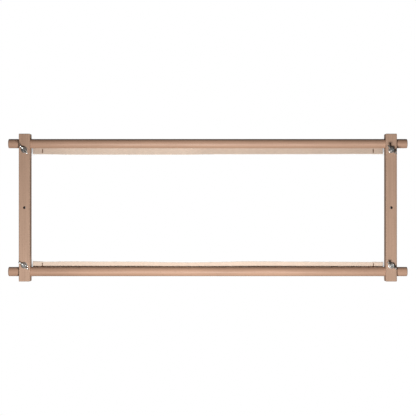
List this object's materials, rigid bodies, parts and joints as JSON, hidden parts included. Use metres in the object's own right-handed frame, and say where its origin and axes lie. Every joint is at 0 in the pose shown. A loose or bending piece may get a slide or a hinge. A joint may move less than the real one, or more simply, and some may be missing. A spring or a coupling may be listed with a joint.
{
  "type": "rotating tapestry frame",
  "caption": "Hand frame for stretching canvas: round wooden rollers with cotton tapes, held in the split ends of side arms by coach bolts and wing nuts.",
  "frame": {"origin": "centre of the frame in plan, on the surface that its four bolt heads rest on", "axes": "+X along the rollers to the right arm, +Y along the arms to the top roller, +Z from the back to the wing nuts"},
  "size_m": [0.866, 0.32, 0.049],
  "materials": {
    "arm_wood": "sanded beech, matt",
    "roller_wood": "sanded beech dowel, satin",
    "cotton_tape": "woven unbleached cotton",
    "blued_tacks": "blued steel",
    "zinc_bolt": "bright zinc plate",
    "zinc_washer": "bright zinc plate",
    "zinc_wing_nut": "zinc plated forging"
  },
  "bodies": {
    "left_arm": {"left_arm": "arm_wood", "bolt_top_left": "zinc_bolt", "bolt_bottom_left": "zinc_bolt"},
    "right_arm": {"right_arm": "arm_wood", "bolt_top_right": "zinc_bolt", "bolt_bottom_right": "zinc_bolt"},
    "top_roller": {"top_roller": "roller_wood", "top_tape": "cotton_tape", "top_tape_tacks": "blued_tacks"},
    "bottom_roller": {"bottom_roller": "roller_wood", "bottom_tape": "cotton_tape", "bottom_tape_tacks": "blued_tacks"},
    "washer_top_left": {"washer_top_left": "zinc_washer"},
    "washer_top_right": {"washer_top_right": "zinc_washer"},
    "washer_bottom_left": {"washer_bottom_left": "zinc_washer"},
    "washer_bottom_right": {"washer_bottom_right": "zinc_washer"},
    "wing_nut_top_left": {"wing_nut_top_left": "zinc_wing_nut"},
    "wing_nut_top_right": {"wing_nut_top_right": "zinc_wing_nut"},
    "wing_nut_bottom_left": {"wing_nut_bottom_left": "zinc_wing_nut"},
    "wing_nut_bottom_right": {"wing_nut_bottom_right": "zinc_wing_nut"}
  },
  "joints": [
    {"name": "right_arm_slide", "type": "slide", "parent": "left_arm", "child": "right_arm", "axis": [1, 0, 0], "range_m": [-0.003, 0.024]},
    {"name": "top_roller_turn", "type": "hinge", "parent": "left_arm", "child": "top_roller", "pos_m": [0, 0.139, 0.0185], "axis": [-1, 0, 0], "continuous": true},
    {"name": "bottom_roller_turn", "type": "hinge", "parent": "left_arm", "child": "bottom_roller", "pos_m": [0, -0.139, 0.0185], "axis": [1, 0, 0], "continuous": true},
    {"name": "washer_top_left_rise", "type": "slide", "parent": "left_arm", "child": "washer_top_left", "axis": [0, 0, 1], "range_m": [0, 0.002]},
    {"name": "washer_top_right_rise", "type": "slide", "parent": "right_arm", "child": "washer_top_right", "axis": [0, 0, 1], "range_m": [0, 0.002]},
    {"name": "washer_bottom_left_rise", "type": "slide", "parent": "left_arm", "child": "washer_bottom_left", "axis": [0, 0, 1], "range_m": [0, 0.002]},
    {"name": "washer_bottom_right_rise", "type": "slide", "parent": "right_arm", "child": "washer_bottom_right", "axis": [0, 0, 1], "range_m": [0, 0.002]},
    {"name": "wing_nut_top_left_turn", "type": "hinge", "parent": "washer_top_left", "child": "wing_nut_top_left", "pos_m": [-0.397, 0.12502, 0.035], "axis": [0, 0, 1], "range_deg": [0, 720]},
    {"name": "wing_nut_top_right_turn", "type": "hinge", "parent": "washer_top_right", "child": "wing_nut_top_right", "pos_m": [0.397, 0.12502, 0.035], "axis": [0, 0, 1], "range_deg": [0, 720]},
    {"name": "wing_nut_bottom_left_turn", "type": "hinge", "parent": "washer_bottom_left", "child": "wing_nut_bottom_left", "pos_m": [-0.397, -0.12502, 0.035], "axis": [0, 0, 1], "range_deg": [0, 720]},
    {"name": "wing_nut_bottom_right_turn", "type": "hinge", "parent": "washer_bottom_right", "child": "wing_nut_bottom_right", "pos_m": [0.397, -0.12502, 0.035], "axis": [0, 0, 1], "range_deg": [0, 720]}
  ],
  "couplings": [
    {"joint": "washer_top_left_rise", "follows": "wing_nut_top_left_turn", "m_per_rad": 0.00015915},
    {"joint": "washer_top_right_rise", "follows": "wing_nut_top_right_turn", "m_per_rad": 0.00015915},
    {"joint": "washer_bottom_left_rise", "follows": "wing_nut_bottom_left_turn", "m_per_rad": 0.00015915},
    {"joint": "washer_bottom_right_rise", "follows": "wing_nut_bottom_right_turn", "m_per_rad": 0.00015915}
  ]
}
